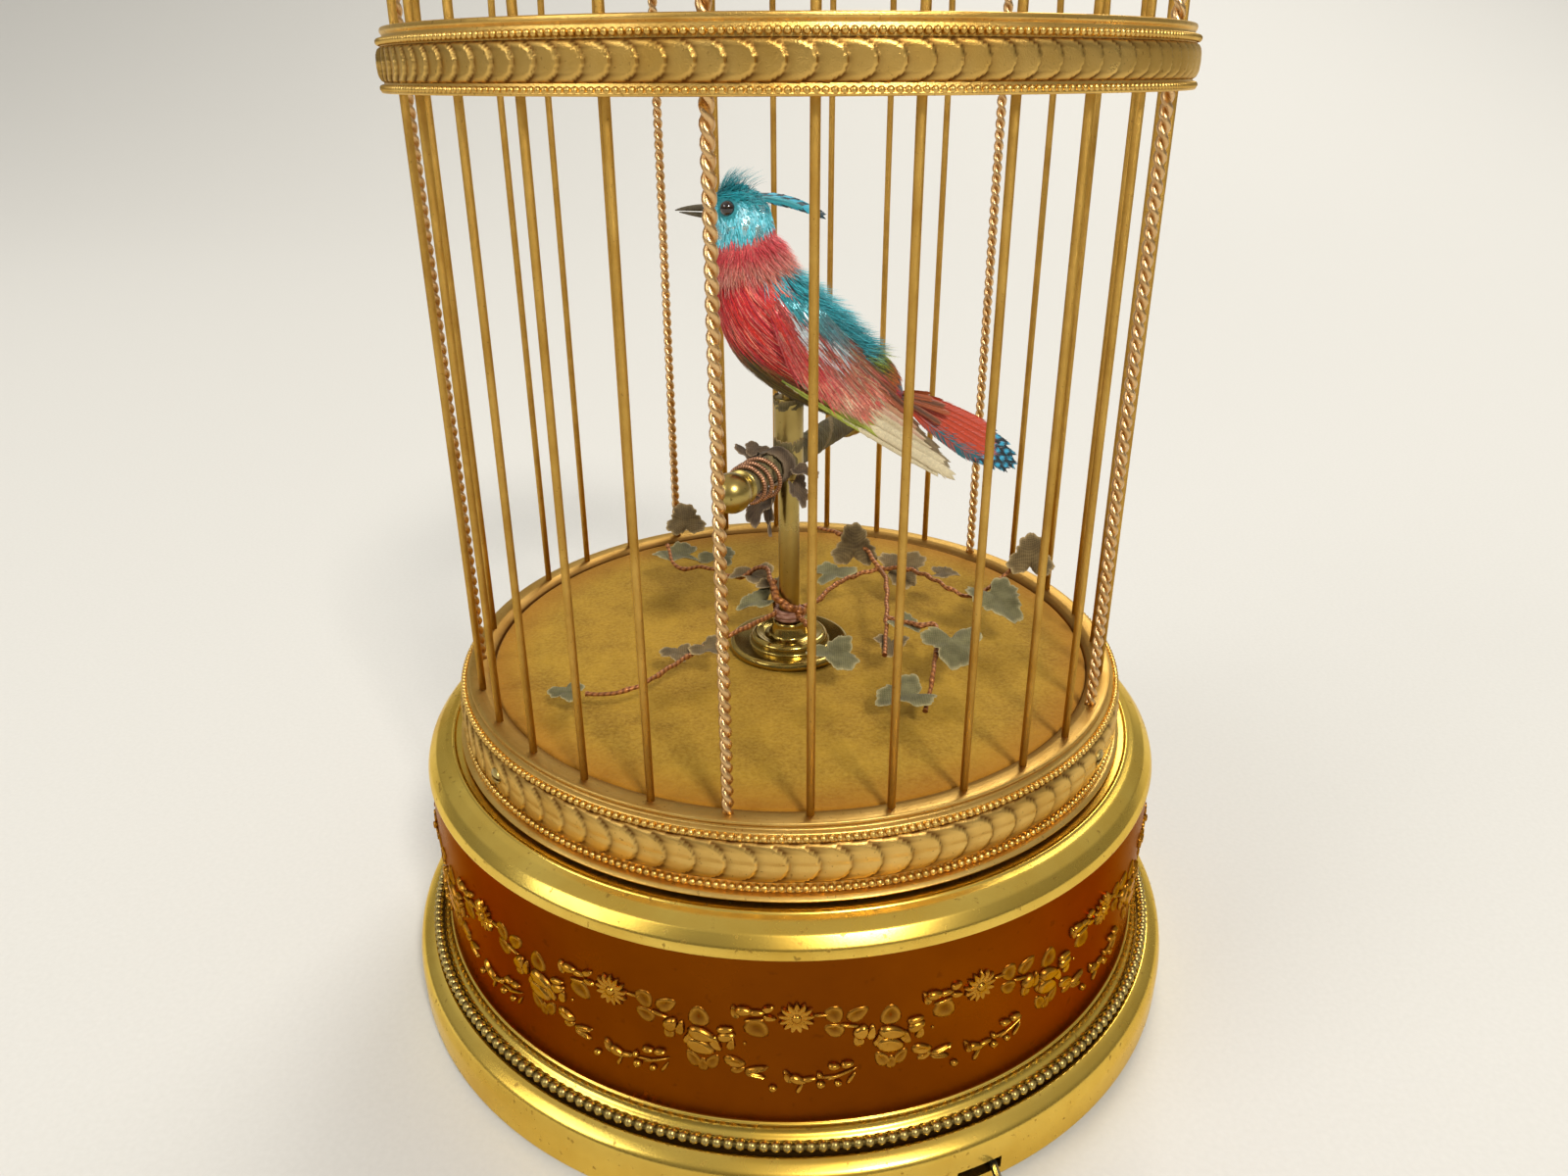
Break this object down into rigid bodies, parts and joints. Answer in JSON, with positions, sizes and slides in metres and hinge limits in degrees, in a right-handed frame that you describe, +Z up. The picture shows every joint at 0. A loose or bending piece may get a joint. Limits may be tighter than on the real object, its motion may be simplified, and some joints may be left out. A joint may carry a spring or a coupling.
{
  "type": "singing bird automaton",
  "caption": "Round brass bird cage on a drum base with a clockwork movement, a feathered bird on a perch and paper vines.",
  "frame": {"origin": "on the table, under the middle of the round base", "axes": "+Z up; the bird faces -X and its left side is seen from -Y"},
  "size_m": [0.16, 0.16, 0.2564],
  "materials": {
    "polished_brass": "polished, slightly hazed, warm yellow",
    "gilt_brass": "gilded, warm rose gold",
    "plate_brass": "satin",
    "steel": "satin",
    "copper": "bare copper wire",
    "velvet": "mustard velvet",
    "felt": "felt",
    "bark": "dark olive bark coating on metal",
    "dark_cloth": "dark painted cloth",
    "leaf_cloth": "grey-green woven cloth on paper-wrapped wire",
    "red_feathers": "soft feathers",
    "teal_feathers": "iridescent feathers",
    "tail_feathers": "long feathers",
    "horn": "dark horn",
    "eye_glass": "black glass bead",
    "wood": "pear wood",
    "kid_leather": "thin kid leather"
  },
  "bodies": {
    "base": {"base_felt": "felt", "plinth": "polished_brass", "base_bead_ring": "polished_brass", "base_plate": "plate_brass", "drum_shell": "polished_brass", "cage_base_ring": "gilt_brass", "fixing_screw_1": "gilt_brass", "fixing_screw_2": "gilt_brass", "fixing_screw_3": "gilt_brass", "floor_disc": "velvet", "upper_band": "gilt_brass", "cage_bars": "gilt_brass", "rope_bar_1": "gilt_brass", "rope_bar_2": "gilt_brass", "rope_bar_3": "gilt_brass", "rope_bar_4": "gilt_brass", "rope_bar_5": "gilt_brass", "crown_finial": "gilt_brass", "post_flange": "plate_brass", "perch_post": "plate_brass", "perch_arm": "bark", "front_ball": "plate_brass", "back_ball": "plate_brass", "arm_coil": "copper", "arm_leaves": "dark_cloth", "floor_vine": "leaf_cloth", "bird_body": "red_feathers", "left_wing": "red_feathers", "right_wing": "red_feathers", "lower_plate": "plate_brass", "upper_plate": "plate_brass", "bellows_fixed_board": "wood", "bellows_leather": "kid_leather", "wind_chest": "wood", "whistle": "plate_brass"},
    "ring": {"hanging_ring": "gilt_brass"},
    "winder": {"winding_arbor": "steel", "winding_key": "plate_brass"},
    "pawl": {"click": "steel"},
    "barrel": {"spring_barrel": "plate_brass", "mainspring": "steel"},
    "cams": {"cam_stack": "plate_brass"},
    "crank": {"crank_arbor": "plate_brass"},
    "fan": {"fan_governor": "steel"},
    "bellows_board": {"bellows_moving_board": "wood"},
    "pump_rod": {"connecting_rod": "steel"},
    "tune_lever": {"piston_lever": "steel"},
    "piston": {"whistle_piston": "steel"},
    "turn_lever": {"head_lever": "steel"},
    "turn_rod": {"head_rod": "steel"},
    "lift_lever": {"beak_lever": "steel"},
    "lift_rod": {"beak_rod": "plate_brass"},
    "head": {"bird_head": "teal_feathers", "left_eye": "eye_glass", "right_eye": "eye_glass", "crest_feather": "teal_feathers"},
    "jaw": {"lower_beak": "horn"},
    "tail": {"bird_tail": "tail_feathers"},
    "stopper": {"stop_lever": "steel"}
  },
  "joints": [
    {"name": "ring_swing", "type": "hinge", "parent": "base", "child": "ring", "pos_m": [0, 0, 0.2524], "axis": [1, 0, 0], "range_deg": [0, 236]},
    {"name": "winding", "type": "hinge", "parent": "base", "child": "winder", "pos_m": [-0.024, -0.014, 0.008], "axis": [0, 0, 1], "continuous": true},
    {"name": "click_swing", "type": "hinge", "parent": "base", "child": "pawl", "pos_m": [-0.03622, -0.01845, 0.0112], "axis": [0, 0, -1], "range_deg": [0, 10]},
    {"name": "crank_turn", "type": "hinge", "parent": "base", "child": "crank", "pos_m": [0.01398, -0.00382, 0.03], "axis": [0, 0, 1], "continuous": true},
    {"name": "barrel_turn", "type": "hinge", "parent": "base", "child": "barrel", "pos_m": [-0.024, -0.014, 0.02], "axis": [0, 0, 1], "continuous": true},
    {"name": "cam_turn", "type": "hinge", "parent": "base", "child": "cams", "pos_m": [-0.00857, 0.00439, 0.03], "axis": [0, 0, 1], "continuous": true},
    {"name": "fan_turn", "type": "hinge", "parent": "base", "child": "fan", "pos_m": [0.03364, 0.00994, 0.02], "axis": [0, 0, 1], "continuous": true},
    {"name": "bellows_open", "type": "hinge", "parent": "base", "child": "bellows_board", "pos_m": [0.04558, 0.02608, 0.0435], "axis": [0, 0, 1], "range_deg": [0, 10]},
    {"name": "pump_rod_turn", "type": "hinge", "parent": "bellows_board", "child": "pump_rod", "pos_m": [0.01398, 0.02338, 0.0407], "axis": [0, 0, 1], "range_deg": [-10, 0]},
    {"name": "tune_lever_swing", "type": "hinge", "parent": "base", "child": "tune_lever", "pos_m": [-0.03007, 0.01997, 0.0372], "axis": [0, 0, -1], "range_deg": [0, 20]},
    {"name": "piston_slide", "type": "slide", "parent": "base", "child": "piston", "axis": [1, 0, 0], "range_m": [0, 0.0057]},
    {"name": "head_turn", "type": "hinge", "parent": "base", "child": "head", "pos_m": [-0.0066, -0.003, 0.1437], "axis": [0, 0, 1], "range_deg": [-20, 40]},
    {"name": "turn_rod_turn", "type": "hinge", "parent": "base", "child": "turn_rod", "pos_m": [0, -0.003, 0.1], "axis": [0, 0, 1], "range_deg": [-20, 40]},
    {"name": "turn_lever_swing", "type": "hinge", "parent": "base", "child": "turn_lever", "pos_m": [-0.00967, -0.01124, 0.0404], "axis": [0, 0, 1], "range_deg": [-6.2, 12.3]},
    {"name": "lift_rod_slide", "type": "slide", "parent": "base", "child": "lift_rod", "axis": [0, 0, 1], "range_m": [0, 0.003]},
    {"name": "lift_lever_swing", "type": "hinge", "parent": "base", "child": "lift_lever", "pos_m": [-0.03, -0.003, 0.0468], "axis": [0, -1, 0], "range_deg": [0, 5.75]},
    {"name": "beak_open", "type": "hinge", "parent": "head", "child": "jaw", "pos_m": [-0.01362, -0.003, 0.15013], "axis": [0, -1, 0], "range_deg": [0, 18.1]},
    {"name": "tail_flick", "type": "hinge", "parent": "base", "child": "tail", "pos_m": [0.02016, -0.003, 0.11901], "axis": [0, -1, 0], "range_deg": [0, 12.1]},
    {"name": "stop_swing", "type": "hinge", "parent": "base", "child": "stopper", "pos_m": [0.02634, -0.02078, 0.0051], "axis": [0, 0, -1], "range_deg": [0, 5.5]}
  ],
  "couplings": [
    {"joint": "barrel_turn", "follows": "crank_turn", "ratio": 0.0625},
    {"joint": "cam_turn", "follows": "crank_turn", "ratio": -0.25},
    {"joint": "fan_turn", "follows": "crank_turn", "ratio": -4},
    {"joint": "pump_rod_turn", "follows": "bellows_open", "ratio": -1},
    {"joint": "piston_slide", "follows": "tune_lever_swing", "m_per_rad": 0.016},
    {"joint": "turn_rod_turn", "follows": "head_turn", "ratio": 1},
    {"joint": "turn_lever_swing", "follows": "head_turn", "ratio": 0.3056},
    {"joint": "lift_lever_swing", "follows": "lift_rod_slide", "rad_per_m": 33.333},
    {"joint": "beak_open", "follows": "lift_rod_slide", "rad_per_m": 104.7},
    {"joint": "tail_flick", "follows": "lift_rod_slide", "rad_per_m": 69.8}
  ]
}
